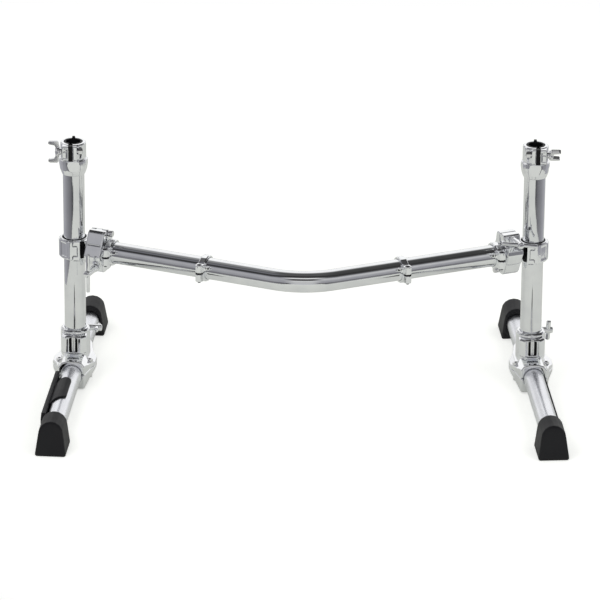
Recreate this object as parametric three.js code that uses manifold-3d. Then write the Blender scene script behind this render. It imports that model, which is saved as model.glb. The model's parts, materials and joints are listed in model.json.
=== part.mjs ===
// Drum rack frame: two T-leg stands joined by a bent cross bar.
// Millimetres, +Z up, floor at Z = 0, +X to the right, +Y to the back. The cross bar bends forward, to -Y.
import * as THREE from 'three';
import { mergeVertices } from 'three/addons/utils/BufferGeometryUtils.js';
import Module from 'manifold-3d';

const wasm = await Module();
wasm.setup();

// Whole frame
const post_spacing = 812;
const rack_height = 450;
const bar_height = 253;
const bar_angle = THREE.MathUtils.degToRad( 23.5 );
const bar_bend_radius = 127;
const toe_angle = THREE.MathUtils.degToRad( 4.4 );

// Tubes
const post_d = 38.1;
const post_wall = 2;
const bar_d = 38.1;
const bar_wall = 2.4;
const leg_d = 36;
const leg_wall = 2;
const leg_axis_height = 30;
const front_leg_length = 356;
const rear_leg_length = 264;

// Clearances and small features shared by all castings
const fit_gap = 0.3;
const split_gap = 2;
const cast_bevel = 1.5;
const edge_bevel = 3;
const overrun = 5;

// Rounds: numbers of sides, not sizes
const tube_sides = 24;
const rod_sides = 8;
const small_sides = 8;
const hex_sides = 6;
const ring_sides = 16;
const bend_steps = 6;
const foot_arch_steps = 8;

// Top collar, which closes on a plastic bush for a 25.4 mm tube
const socket_bore_d = 25.4;
const bush_wall = 3.6;
const bush_insert = 11;
const collar_head_height = 30;
const collar_skirt_height = 29;
const collar_d = 45.5;
const collar_skirt_d = 41.4;
const collar_flare_d = 51.4;
const collar_flare_depth = 46;
const collar_slit = 7.5;
const ear_front = 26;
const ear_outer = 19;
const ear_inner = 10;
const ear_inner_front = 7;
const ear_margin = 1.5;
const ear_panel_depth = 0.9;
const ear_panel_margin = 2.2;
const bush_tab_width = 5;
const bush_tab_rise = 3;
const bush_tab_depth = 3;
const collar_screw_offset = 21;
const collar_screw_d = 6.4;
const collar_screw_drop = 12;
const nut_flats_d = 12;
const nut_height = 7;
const wing_hub_d = 12;
const wing_hub_length = 10;
const wing_length = 20;
const wing_span = 40;
const wing_thickness = 6;

// Height clamp: post band, bar block, jaws and their screws
const liner_wall = 1.8;
const band_height = 37;
const band_wall = 3.8;
const jaw_bulge = 2.6;
const badge_depth = 0.8;
const badge_width = 14;
const badge_height = 26;
const badge_cut = 2.6;
const badge_angle = THREE.MathUtils.degToRad( 43 );
const jaw_split_x = -2;
const knuckle_front = 29.5;
const knuckle_inset = 9;
const knuckle_width = 13.5;
const knuckle_tab_width = 8;
const knuckle_tab_height = 18;
const pin_d = 5;
const lug_reach = 37;
const lug_thickness = 9;
const lug_height = 24;
const pinch_d = 7;
const pinch_head_d = 12;
const pinch_head_height = 6;
const lip_angle = THREE.MathUtils.degToRad( -54 );
const lip_thickness = 5;
const lip_height = 31;
const lip_reach = 29;
const block_start = 31;
const block_width = 32;
const block_half = 38;
const neck_half_height = 17;
const neck_front = 11;
const neck_back = 21;
const hinge_back = 8;
const hinge_rise = 31;
const hinge_d = 14;
const hinge_pin_d = 6;
const hinge_head_d = 12;
const hinge_head_length = 9;
const panel_depth = 0.8;
const t_drop = 30;
const t_shaft_d = 8.4;
const t_hub_d = 12;
const t_reach = 50;
const t_tail = 22;
const t_cross_inset = 8;
const t_cross_d = 7;
const t_cross_length = 71;
const t_hub_start = 14;

// Memory locks on the bar
const lock_width = 13;
const lock_wall = 4.6;
const lock_split = 3;
const lock_boss_d = 14;
const lock_boss_half = 15;
const lock_boss_out = 27;
const lock_screw_d = 5.5;
const lock_head_d = 8.6;
const lock_head_depth = 5;
const lock_tip = 3;
const lock_hinge_d = 8;
const lock_key_length = 4;
const lock_key_width = 9;
const lock_key_height = 7;
const end_lock_station = 74;
const inner_lock_station = 256;

// Base clamp: post socket above, saddle round the leg below
const socket_wall = 6.8;
const socket_top = 100;
const socket_floor = 52;
const socket_bottom = 46;
const front_boss_width = 46;
const front_boss_corner = 9;
const front_boss_reach = 35;
const front_boss_bottom = 58;
const front_boss_margin = 7;
const window_width = 15;
const window_height = 27;
const window_depth = 8;
const base_pin_d = 8;
const saddle_outer_width = 40;
const saddle_inner_width = 36.5;
const saddle_half_length = 60;
const saddle_bottom = 3;
const saddle_cover = 7;
const saddle_bolt_offset = 27.5;
const saddle_bolt_front = 16;
const saddle_bolt_d = 7;
const saddle_bolt_head_d = 11;
const saddle_bolt_head_height = 5.5;
const saddle_bolt_seat = 38;
const saddle_bolt_tip = 9;
const base_lug_back = 38;
const base_lug_half_width = 13;
const base_lug_height = 28;
const base_screw_back = 30;
const base_screw_d = 7.6;
const base_screw_hub_d = 12;
const base_screw_reach = 44;
const base_cross_d = 8.5;
const base_cross_length = 42;

// Feet, guard and strip
const foot_length = 67;
const foot_base_width = 54;
const foot_outer_arch_width = 43.6;
const foot_inner_arch_width = 45;
const foot_outer_height = 60;
const foot_inner_height = 59;
const foot_lean = 12;
const foot_bevel = 2.5;
const foot_bore_depth = 49;
const strip_width = 9;
const strip_proud = 2.6;
const guard_start = 76;
const guard_end_gap = 13;
const rail_thickness = 8;
const rail_bottom = 22;
const rail_top = 44;
const rail_slant = 9;
const pad_start = 118;
const pad_end_gap = 55;
const pad_wall = 2.6;
const pad_corner = 15;
const pad_diagonal = 18;

// Rest angles of the loose screws about their own axes, in degrees
const wing_turns = { left: 0, right: 50 };
const base_screw_turns = { left: 8, right: 72 };
const bar_screw_turns = { left: 90, right: 13 };

// Small shares: hexagon key across its screw, lip taper, bush slit, hinge knuckles along the block
const key_share = 0.42;
const lip_taper_share = 0.6;
const bush_slit_shares = [ 0.25, 0.75 ];
const knuckle_shares = [ 0, 0.3, 0.7, 1 ];
const knuckle_run_out_share = 0.1;
const hinge_hole_shares = [ - 1, 2 ];

// Outlines as shares of the size named in each user
const wing_outline_shares = [
	[ 0.02, 0 ], [ 0.02, 0.42 ], [ 0.08, 0.64 ], [ 0.1, 0.9 ], [ 0.2, 1 ], [ 0.86, 1 ], [ 1, 0.9 ], [ 1, 0.78 ],
	[ 0.9, 0.68 ], [ 0.46, 0.6 ], [ 0.36, 0.42 ], [ 0.42, 0 ],
];
const collar_flare_shares = [ [ 0, 0 ], [ 0.68, 0.33 ], [ 1, 0.72 ], [ 0.92, 0.96 ] ];
const jaw_outline_shares = [
	[ 0.03, - 0.5 ], [ 0.03, 0.67 ], [ - 0.1, 0.71 ], [ - 0.24, 0.8 ], [ - 0.18, 0.97 ], [ 0.1, 0.99 ],
	[ 0.24, 0.9 ], [ 0.72, - 0.1 ], [ 0.71, - 0.3 ], [ 0.58, - 0.5 ], [ 0.35, - 0.58 ], [ 0.3, - 0.94 ],
	[ 0.22, - 1 ], [ - 0.08, - 1 ], [ - 0.08, - 0.63 ], [ 0.03, - 0.58 ],
];
const block_outline_shares = [
	[ - 0.03, 0.5 ], [ - 0.03, 0.62 ], [ - 0.16, 0.65 ], [ - 0.3, 0.78 ], [ - 0.42, 0.8 ], [ - 0.62, 0.6 ],
	[ - 0.74, 0.3 ], [ - 0.74, - 0.3 ], [ - 0.6, - 0.56 ], [ - 0.53, - 0.94 ], [ - 0.45, - 1 ],
	[ - 0.135, - 1 ], [ - 0.135, - 0.6 ], [ - 0.03, - 0.56 ],
];
const saddle_plan_shares = [
	[ 1, - 0.18 ], [ 1, 0.18 ], [ 0.8, 0.46 ], [ 0.6, 1 ], [ - 0.62, 1 ], [ - 0.8, 0.46 ],
	[ - 1, 0.18 ], [ - 1, - 0.18 ], [ - 0.8, - 0.46 ], [ - 0.62, - 1 ], [ 0.6, - 1 ], [ 0.8, - 0.46 ],
];
const pad_edge_shares = [
	[ - 1, 1 ], [ - 0.9, 0.5 ], [ - 0.62, 0.13 ], [ - 0.2, 0 ], [ 0.2, 0.17 ], [ 0.42, 0.5 ], [ 0.5, 1 ],
];

// Worked out from the sizes above
const post_r = post_d / 2;
const bar_r = bar_d / 2;
const leg_r = leg_d / 2;
const post_x = post_spacing / 2;
const bush_r = socket_bore_d / 2 + bush_wall;
const collar_ledge = rack_height - collar_head_height;
const collar_bottom = collar_ledge - collar_skirt_height;
const liner_r = boreRadius( post_r ) + liner_wall;
const band_r = liner_r + band_wall;
const front_y = - front_leg_length;
const rear_y = rear_leg_length;
const collar_screw_height = rack_height - collar_screw_drop;
const block_mid = block_start + block_width / 2;
const rail_length = front_leg_length - foot_length - guard_start - guard_end_gap;
const pad_length = rail_length - ( pad_start - guard_start ) - pad_end_gap;

// A round hole with flat sides clears a round of radius r at every turn
function boreRadius( r, sides = tube_sides ) {

	return ( r + fit_gap ) / Math.cos( Math.PI / sides );

}

// Closed three.js geometry to solid, with shared vertices merged
function solid( geometry ) {

	const bare = geometry.index ? geometry.toNonIndexed() : geometry.clone();
	for ( const name of Object.keys( bare.attributes ) ) {

		if ( name !== 'position' ) bare.deleteAttribute( name );

	}

	const merged = mergeVertices( bare );
	const index = merged.index.array;
	const faces = [];
	for ( let i = 0; i < index.length; i += 3 ) {

		const [ a, b, c ] = [ index[ i ], index[ i + 1 ], index[ i + 2 ] ];
		if ( a !== b && b !== c && c !== a ) faces.push( a, b, c );

	}

	return new wasm.Manifold( new wasm.Mesh( {
		numProp: 3,
		vertProperties: new Float32Array( merged.attributes.position.array ),
		triVerts: new Uint32Array( faces ),
	} ) );

}

// Solid back to a geometry, mirrored across the YZ plane when asked
function geometryOf( body, mirror = false ) {

	const data = body.getMesh();
	const position = new Float32Array( data.vertProperties );
	const index = new Uint32Array( data.triVerts );
	if ( mirror ) {

		for ( let i = 0; i < position.length; i += 3 ) position[ i ] = - position[ i ];
		for ( let i = 0; i < index.length; i += 3 ) {

			[ index[ i + 1 ], index[ i + 2 ] ] = [ index[ i + 2 ], index[ i + 1 ] ];

		}

	}

	const geometry = new THREE.BufferGeometry();
	geometry.setAttribute( 'position', new THREE.BufferAttribute( position, 3 ) );
	geometry.setIndex( new THREE.BufferAttribute( index, 1 ) );
	geometry.computeVertexNormals();
	return geometry;

}

// Box given by its lowest and highest corner
function block( low, high ) {

	const size = high.map( ( v, i ) => v - low[ i ] );
	const geometry = new THREE.BoxGeometry( ...size );
	geometry.translate( ...low.map( ( v, i ) => v + size[ i ] / 2 ) );
	return solid( geometry );

}

// Geometry turned so that its own Z runs along the named axis
function turned( geometry, axis ) {

	if ( axis === 'x' ) geometry.rotateY( Math.PI / 2 );
	if ( axis === 'y' ) geometry.rotateX( - Math.PI / 2 );
	return geometry;

}

// Round bar along an axis, from start to end, centred on the other two coordinates
function rod( r, axis, start, end, centre, sides = rod_sides ) {

	const geometry = new THREE.CylinderGeometry( r, r, end - start, sides );
	geometry.rotateX( Math.PI / 2 );
	geometry.translate( 0, 0, ( start + end ) / 2 );
	turned( geometry, axis );
	geometry.translate( ...centre );
	return solid( geometry );

}

// Turned body along an axis from [radius, station] pairs that start and end on the axis
function lathe( profile, axis, centre, sides = tube_sides ) {

	const geometry = new THREE.LatheGeometry( profile.map( ( [ r, s ] ) => new THREE.Vector2( r, s ) ), sides );
	geometry.rotateX( Math.PI / 2 );
	turned( geometry, axis );
	geometry.translate( ...centre );
	return solid( geometry );

}

// Disc with bevelled rims
function disc( r, start, end, bevel, axis = 'z', centre = [ 0, 0, 0 ], sides = tube_sides ) {

	const profile = [
		[ 0, start ], [ r - bevel, start ], [ r, start + bevel ],
		[ r, end - bevel ], [ r - bevel, end ], [ 0, end ],
	];
	return lathe( profile, axis, centre, sides );

}

// Outline extruded with bevelled rims, from start to end along its own Z
function prism( points, start, end, bevel = 0 ) {

	const shape = new THREE.Shape( points.map( ( [ x, y ] ) => new THREE.Vector2( x, y ) ) );
	const geometry = new THREE.ExtrudeGeometry( shape, {
		depth: end - start - 2 * bevel,
		bevelEnabled: bevel > 0,
		bevelThickness: bevel,
		bevelSize: bevel,
		bevelOffset: - bevel,
		bevelSegments: 1,
	} );
	geometry.translate( 0, 0, start + bevel );
	return geometry;

}

// Outline in the XY plane
function plate( points, start, end, bevel = 0 ) {

	return solid( prism( points, start, end, bevel ) );

}

// Outline in the XZ plane, extruded along Y
function profileY( points, start, end, bevel = 0 ) {

	const geometry = prism( points, - end, - start, bevel );
	geometry.rotateX( Math.PI / 2 );
	return solid( geometry );

}

// Outline in the YZ plane, extruded along X
function profileX( points, start, end, bevel = 0 ) {

	const geometry = prism( points, start, end, bevel );
	geometry.rotateX( Math.PI / 2 );
	geometry.rotateZ( Math.PI / 2 );
	return solid( geometry );

}

function scaled( shares, sizeX, sizeY = sizeX ) {

	return shares.map( ( [ x, y ] ) => [ x * sizeX, y * sizeY ] );

}

// Union of several solids
function join( ...bodies ) {

	return bodies.reduce( ( all, body ) => all.add( body ) );

}

// First solid with the others cut away
function cut( body, ...tools ) {

	return tools.reduce( ( rest, tool ) => rest.subtract( tool ), body );

}

const finishes = {
	chrome: { color: 0xd9dcde, roughness: 0.08, metalness: 1 },
	satin: { color: 0xcfd2da, roughness: 0.34, metalness: 1 },
	steel: { color: 0xa9acae, roughness: 0.22, metalness: 1 },
	rubber: { color: 0x2a2a2d, roughness: 0.8, metalness: 0 },
	nylon: { color: 0x0b0b0d, roughness: 0.55, metalness: 0 },
};

function piece( parent, name, body, finish, mirror = false ) {

	const material = new THREE.MeshStandardMaterial( finishes[ finish ] );
	const mesh = new THREE.Mesh( geometryOf( body, mirror ), material );
	mesh.name = name;
	parent.add( mesh );
	return mesh;

}

function frameAt( parent, x, y, z ) {

	const group = new THREE.Group();
	group.position.set( x, y, z );
	parent.add( group );
	return group;

}

// Hollow round tube along an axis
function tube( r, wall, axis, start, end, centre ) {

	const outer = rod( r, axis, start, end, centre, tube_sides );
	return cut( outer, rod( r - wall, axis, start - overrun, end + overrun, centre, tube_sides ) );

}

// Cross bar: straight arms from both clamps, joined by one round bend in the middle
function barStations( extra ) {

	const direction = new THREE.Vector3( Math.cos( bar_angle ), - Math.sin( bar_angle ), 0 );
	const start = new THREE.Vector3( - post_x, 0, bar_height );
	start.addScaledVector( direction, block_start + fit_gap - extra );
	const corner = new THREE.Vector3( 0, - post_x * Math.tan( bar_angle ), bar_height );
	const centre_y = corner.y + bar_bend_radius / Math.cos( bar_angle );
	const stations = [ { at: start, angle: - bar_angle } ];
	for ( let i = 0; i <= bend_steps; i ++ ) {

		const angle = - bar_angle + 2 * bar_angle * i / bend_steps;
		const at = new THREE.Vector3( bar_bend_radius * Math.sin( angle ), centre_y, bar_height );
		at.y -= bar_bend_radius * Math.cos( angle );
		stations.push( { at, angle } );

	}

	stations.push( { at: new THREE.Vector3( - start.x, start.y, start.z ), angle: bar_angle } );
	return stations;

}

function sweepBar( r, extra ) {

	const stations = barStations( extra );
	const rings = stations.map( ( { at, angle } ) => Array.from( { length: tube_sides }, ( _, k ) => {

		const turn = 2 * Math.PI * k / tube_sides;
		const side = r * Math.cos( turn );
		return [ at.x - side * Math.sin( angle ), at.y + side * Math.cos( angle ), at.z + r * Math.sin( turn ) ];

	} ) );
	return loft( rings );

}

// Closed body through rings of equal count, its ends closed by fans
function loft( rings ) {

	const positions = [];
	const count = rings[ 0 ].length;
	const face = ( a, b, c ) => positions.push( ...a, ...b, ...c );
	for ( let i = 0; i + 1 < rings.length; i ++ ) {

		for ( let k = 0; k < count; k ++ ) {

			const n = ( k + 1 ) % count;
			face( rings[ i ][ k ], rings[ i ][ n ], rings[ i + 1 ][ k ] );
			face( rings[ i ][ n ], rings[ i + 1 ][ n ], rings[ i + 1 ][ k ] );

		}

	}

	const last = rings[ rings.length - 1 ];
	for ( let k = 1; k + 1 < count; k ++ ) {

		face( rings[ 0 ][ 0 ], rings[ 0 ][ k + 1 ], rings[ 0 ][ k ] );
		face( last[ 0 ], last[ k ], last[ k + 1 ] );

	}

	const geometry = new THREE.BufferGeometry();
	geometry.setAttribute( 'position', new THREE.Float32BufferAttribute( positions, 3 ) );
	const body = solid( geometry );
	if ( body.volume() > 0 ) return body;
	for ( let i = 0; i < positions.length; i += 9 ) {

		for ( let k = 0; k < 3; k ++ ) {

			[ positions[ i + 3 + k ], positions[ i + 6 + k ] ] = [ positions[ i + 6 + k ], positions[ i + 3 + k ] ];

		}

	}

	geometry.setAttribute( 'position', new THREE.Float32BufferAttribute( positions, 3 ) );
	return solid( geometry );

}

function crossBar() {

	return cut( sweepBar( bar_r, 0 ), sweepBar( bar_r - bar_wall, overrun ) );

}

// Post, from the socket floor to the ledge inside the top collar
function post() {

	return tube( post_r, post_wall, 'z', socket_floor + fit_gap, collar_ledge - fit_gap, [ 0, 0, 0 ] );

}

// Top collar, with its outer side towards +X
function collar() {

	const ear_top = rack_height - ear_margin;
	const ear_bottom = collar_ledge + ear_margin;
	const head = disc( collar_d / 2, collar_ledge, rack_height, ear_margin );
	const ears = plate( [
		[ - ear_inner_front, - ear_front ], [ ear_outer, - ear_front ], [ ear_outer, - ear_front / 2 ],
		[ ear_inner, 0 ], [ - ear_inner, 0 ], [ - ear_inner, - collar_screw_offset ],
	], ear_bottom, ear_top, cast_bevel );
	const flare = ( collar_flare_d - collar_skirt_d ) / 2;
	const skirt_side = collar_flare_shares.map( ( [ out, up ] ) => [
		collar_skirt_d / 2 + flare * out, collar_bottom + collar_skirt_height * up,
	] );
	const skirt = lathe( [
		[ 0, collar_bottom ], ...skirt_side, [ collar_d / 2, collar_ledge ], [ 0, ear_bottom ],
	], 'z', [ 0, 0, 0 ] );
	const skirt_room = block(
		[ - collar_flare_d, - collar_flare_depth / 2, collar_bottom - overrun ],
		[ collar_flare_d, collar_flare_depth / 2, rack_height ] );
	const axis = [ 0, 0, 0 ];
	const post_bore = rod( boreRadius( post_r ), 'z', collar_bottom - overrun, collar_ledge, axis, tube_sides );
	const bush_bore = rod( boreRadius( bush_r ), 'z', collar_bottom, rack_height + overrun, axis, tube_sides );
	const slit = block( [ 0, - ear_front - overrun, collar_ledge ], [ collar_slit, 0, rack_height + overrun ] );
	const screw_hole = rod(
		boreRadius( collar_screw_d / 2, rod_sides ), 'x', - ear_inner - overrun, ear_outer + overrun,
		[ 0, - collar_screw_offset, collar_screw_height ] );
	const panel = block(
		[ collar_slit + ear_panel_margin, - ear_front - overrun, ear_bottom + ear_panel_margin * 2 ],
		[ ear_outer - ear_panel_margin, ear_panel_depth - ear_front, ear_top - ear_panel_margin * 2 ] );
	const notch_half = bush_tab_width / 2 + fit_gap;
	const notch = block(
		[ - notch_half, bush_r - bush_wall, rack_height - bush_tab_rise - fit_gap ],
		[ notch_half, bush_r + bush_tab_depth + fit_gap, rack_height + overrun ] );
	const nut_seat = rod(
		nut_flats_d / 2 + 2 * fit_gap, 'x', - collar_flare_d / 2 - overrun, - ear_inner,
		[ 0, - collar_screw_offset, collar_screw_height ] );
	const casting = join( head, ears, skirt.intersect( skirt_room ) );
	return cut( casting, post_bore, bush_bore, slit, screw_hole, nut_seat, panel, notch );

}

function collarBush() {

	const bottom = collar_ledge - bush_insert;
	const ring = cut(
		rod( bush_r, 'z', bottom, rack_height, [ 0, 0, 0 ], tube_sides ),
		rod( socket_bore_d / 2, 'z', bottom - overrun, rack_height + overrun, [ 0, 0, 0 ], tube_sides ) );
	const tab = block(
		[ - bush_tab_width / 2, bush_r - bush_wall / 2, rack_height - bush_tab_rise ],
		[ bush_tab_width / 2, bush_r + bush_tab_depth, rack_height + bush_tab_rise ] );
	const slit = block(
		[ collar_slit * bush_slit_shares[ 0 ], - bush_r - overrun, bottom - overrun ],
		[ collar_slit * bush_slit_shares[ 1 ], 0, rack_height + overrun ] );
	return cut( join( ring, tab ), slit );

}

// Hexagonal nut on the inner ear, its face against the ear
function collarNut() {

	const end = - ear_inner - fit_gap;
	const centre = [ 0, - collar_screw_offset, collar_screw_height ];
	const nut = disc( nut_flats_d / 2, end - nut_height, end, cast_bevel / 2, 'x', centre, hex_sides );
	const r = boreRadius( collar_screw_d / 2, rod_sides );
	return cut( nut, rod( r, 'x', end - nut_height / 2, end + overrun, centre ) );

}

// Wing screw, drawn about its own axis along X
function wingScrew() {

	const start = ear_outer + fit_gap;
	const hub_end = start + wing_hub_length;
	const tip = - ear_inner - fit_gap - nut_height / 3;
	const body = lathe( [
		[ 0, tip ], [ collar_screw_d / 2, tip ], [ collar_screw_d / 2, start ], [ wing_hub_d / 2, start ],
		[ wing_hub_d / 2, start + wing_hub_length / 2 ], [ wing_hub_d / 3, hub_end ], [ 0, hub_end ],
	], 'x', [ 0, 0, 0 ], rod_sides );
	const wing_start = start + wing_hub_length / 3;
	const outline = scaled( wing_outline_shares, wing_length, wing_span / 2 );
	const upper = outline.map( ( [ x, z ] ) => [ wing_start + x, z ] );
	const lower = outline.map( ( [ x, z ] ) => [ wing_start + x, - z ] ).reverse();
	const half = wing_thickness / 2;
	return join( body, profileY( upper, - half, half ), profileY( lower, - half, half ) );

}

// Height clamp, drawn for the left post: the bar leaves to +X and -Y, at the bar angle
const along_bar = ( body ) => body.rotate( [ 0, 0, - THREE.MathUtils.radToDeg( bar_angle ) ] );
const knuckle_half = knuckle_tab_height / 2;
const band_half = band_height / 2;

function halfSpace( low_x, high_x ) {

	const reach = lug_reach + overrun;
	return block( [ low_x, - reach, - reach ], [ high_x, reach, reach ] );

}

function lipSlot( grow ) {

	const half = lip_height / 2 + grow;
	const taper = half * lip_taper_share;
	const lens = profileY( [
		[ 0, - half ], [ lip_reach - edge_bevel + grow, - half ], [ lip_reach + grow, - taper ],
		[ lip_reach + grow, taper ], [ lip_reach - edge_bevel + grow, half ], [ 0, half ],
	], - lip_thickness / 2 - grow, lip_thickness / 2 + grow );
	return lens.rotate( [ 0, 0, THREE.MathUtils.radToDeg( lip_angle ) ] );

}

function clampLiner() {

	const half = band_half - fit_gap;
	const sleeve = rod( liner_r, 'z', - half, half, [ 0, 0, 0 ], tube_sides );
	const bore = rod( boreRadius( post_r ), 'z', - band_height, band_height, [ 0, 0, 0 ], tube_sides );
	return cut( join( sleeve, lipSlot( 0 ) ), bore );

}

function barBore() {

	return rod( boreRadius( bar_r ), 'x', block_start, block_start + 2 * block_width, [ 0, 0, 0 ], tube_sides );

}

function hingeBarrel( r, start_share, end_share ) {

	const start = block_start + block_width * start_share;
	return rod( r, 'x', start, block_start + block_width * end_share, [ 0, hinge_back, hinge_rise ] );

}

// The hinge knuckles: the block has the two outer ones, the jaw the middle one
function outerKnuckles( r, grow_share ) {

	return join(
		hingeBarrel( r, knuckle_shares[ 0 ] - grow_share, knuckle_shares[ 1 ] ),
		hingeBarrel( r, knuckle_shares[ 2 ], knuckle_shares[ 3 ] + grow_share ) );

}

function hingeHole() {

	return hingeBarrel( hinge_pin_d / 2 + fit_gap, ...hinge_hole_shares );

}

function crossScrewHole() {

	const r = boreRadius( t_shaft_d / 2, rod_sides );
	return rod( r, 'y', - block_half * 2, block_half * 2, [ block_mid, 0, - t_drop ] );

}

// Outline shares are [forward, up]; forward is -Y
function blockProfile( shares ) {

	const points = scaled( shares, block_half ).map( ( [ forward, up ] ) => [ - forward, up ] );
	return profileX( points, block_start, block_start + block_width, cast_bevel );

}

function clampBody() {

	const bore = rod( boreRadius( liner_r ), 'z', - band_height, band_height, [ 0, 0, 0 ], tube_sides );
	const band = disc( band_r, - band_half, band_half, cast_bevel );
	const front = block(
		[ jaw_split_x - overrun, - knuckle_front, - band_half ],
		[ jaw_split_x + knuckle_width, - knuckle_front + knuckle_inset, band_half ] );
	const rear = block(
		[ jaw_split_x, post_r, - lug_height / 2 ],
		[ jaw_split_x + split_gap / 2 + lug_thickness, lug_reach, lug_height / 2 ] );
	const neck = along_bar( block(
		[ post_r / 2, - neck_front, - neck_half_height ],
		[ block_start + overrun, neck_back, neck_half_height ] ) );
	const neck_cut = along_bar( block(
		[ block_start - fit_gap, - neck_front - overrun, - neck_half_height - overrun ],
		[ block_start + overrun * 2, fit_gap, neck_half_height + overrun ] ) );
	const jaw_room = hingeBarrel( hinge_d / 2 + fit_gap, knuckle_shares[ 1 ], knuckle_shares[ 2 ] );
	const half_block = cut( blockProfile( block_outline_shares ), jaw_room );
	const arm = cut( join( half_block, outerKnuckles( hinge_d / 2, 0 ) ), hingeHole(), crossScrewHole() );
	const tab_gap = block(
		[ jaw_split_x - overrun, - knuckle_front - overrun, - knuckle_half - fit_gap ],
		[ jaw_split_x + knuckle_tab_width + fit_gap, - post_r, knuckle_half + fit_gap ] );
	const clear_of_jaw = halfSpace( - lug_reach * 2, jaw_split_x + fit_gap / 2 );
	const rear_gap = block(
		[ jaw_split_x - overrun, 0, - band_height ],
		[ jaw_split_x + split_gap / 2, lug_reach + overrun, band_height ] );
	return cut(
		join( band, front, rear, cut( neck, neck_cut ), along_bar( arm ) ),
		bore, along_bar( barBore() ), clear_of_jaw, rear_gap, tab_gap, pinHole(), pinchHole(), lipSlot( fit_gap ) );

}

function pinHole() {

	const centre = [ jaw_split_x + knuckle_tab_width / 2, knuckle_inset / 2 - knuckle_front, 0 ];
	return rod( pin_d / 2 + fit_gap, 'z', - band_height, band_height, centre, small_sides );

}

function pinchHole() {

	const back = ( lug_reach + band_r ) / 2;
	return rod( pinch_d / 2 + fit_gap, 'x', - lug_reach, lug_reach / 2, [ 0, back, 0 ], small_sides );

}

function postJaw() {

	const bulge_r = band_r + jaw_bulge;
	const bore = rod( boreRadius( liner_r ), 'z', - band_height, band_height, [ 0, 0, 0 ], tube_sides );
	const shell = disc( bulge_r, - band_half, band_half, edge_bevel );
	const facet_start = bulge_r - badge_cut;
	const facet = block(
		[ - facet_start - overrun * 2, - bulge_r, - band_height ], [ - facet_start, bulge_r, band_height ] );
	const badge = block(
		[ - facet_start - overrun, - badge_width / 2, - badge_height / 2 ],
		[ badge_depth - facet_start, badge_width / 2, badge_height / 2 ] );
	const angle = [ 0, 0, THREE.MathUtils.radToDeg( badge_angle ) ];
	const rear = block(
		[ jaw_split_x - lug_thickness, post_r, - lug_height / 2 ], [ jaw_split_x, lug_reach, lug_height / 2 ] );
	const front = block(
		[ jaw_split_x - knuckle_tab_width, - knuckle_front, - band_half + cast_bevel ],
		[ jaw_split_x, - knuckle_front + knuckle_inset, band_half - cast_bevel ] );
	const tab = block(
		[ jaw_split_x - overrun, - knuckle_front, - knuckle_half ],
		[ jaw_split_x + knuckle_tab_width, - knuckle_front + knuckle_inset, knuckle_half ] );
	const past_split = halfSpace( jaw_split_x - fit_gap / 2, lug_reach * 2 );
	const rear_gap = block(
		[ jaw_split_x - split_gap / 2, 0, - band_height ],
		[ jaw_split_x + overrun, lug_reach + overrun, band_height ] );
	const faces = join( facet, badge ).rotate( angle );
	const shell_part = cut( join( shell, rear, front ), faces, past_split );
	return cut( join( shell_part, tab ), bore, rear_gap, pinHole(), pinchHole() );

}

function postJawPin() {

	const x = jaw_split_x + knuckle_tab_width / 2;
	const centre = [ x, knuckle_inset / 2 - knuckle_front, 0 ];
	return disc( pin_d / 2, - band_half, band_half, cast_bevel / 3, 'z', centre, small_sides );

}

// Pinch screw through both rear lugs: socket head on the jaw's side
function postJawScrew() {

	const back = ( lug_reach + band_r ) / 2;
	const head = jaw_split_x - lug_thickness - fit_gap;
	const tip = jaw_split_x + split_gap / 2 + lug_thickness;
	const body = lathe( [
		[ 0, head - pinch_head_height ], [ pinch_head_d / 2, head - pinch_head_height ], [ pinch_head_d / 2, head ],
		[ pinch_d / 2, head ], [ pinch_d / 2, tip ], [ 0, tip ],
	], 'x', [ 0, back, 0 ], small_sides );
	const key = rod(
		pinch_d * key_share, 'x', head - pinch_head_height - overrun, head - pinch_head_height / 2,
		[ 0, back, 0 ], hex_sides );
	return cut( body, key );

}

function barJaw() {

	const gap_r = hinge_d / 2 + fit_gap;
	const shell = cut( blockProfile( jaw_outline_shares ), outerKnuckles( gap_r, knuckle_run_out_share ) );
	const gap_share = fit_gap / block_width;
	const middle = hingeBarrel( hinge_d / 2, knuckle_shares[ 1 ] + gap_share, knuckle_shares[ 2 ] - gap_share );
	const [ , , , , , , top, bottom ] = scaled( jaw_outline_shares, block_half );
	const slope = Math.atan2( bottom[ 0 ] - top[ 0 ], top[ 1 ] - bottom[ 1 ] );
	const length = Math.hypot( bottom[ 0 ] - top[ 0 ], top[ 1 ] - bottom[ 1 ] );
	const margin = edge_bevel * 2;
	const panel = new THREE.BoxGeometry( block_width - margin, panel_depth * 2, length - margin );
	panel.rotateX( slope );
	panel.translate( block_mid, - ( top[ 0 ] + bottom[ 0 ] ) / 2, ( top[ 1 ] + bottom[ 1 ] ) / 2 );
	return along_bar( cut( join( shell, middle ), barBore(), hingeHole(), crossScrewHole(), solid( panel ) ) );

}

// Hinge pin of the bar jaw, with a round head beside the block
function barJawPin() {

	const end = block_start + block_width + fit_gap;
	return along_bar( lathe( [
		[ 0, block_start ], [ hinge_pin_d / 2, block_start ], [ hinge_pin_d / 2, end ], [ hinge_head_d / 2, end ],
		[ hinge_head_d / 2, end + hinge_head_length - cast_bevel ],
		[ hinge_head_d / 2 - cast_bevel, end + hinge_head_length ], [ 0, end + hinge_head_length ],
	], 'x', [ 0, hinge_back, hinge_rise ], rod_sides ) );

}

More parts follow.
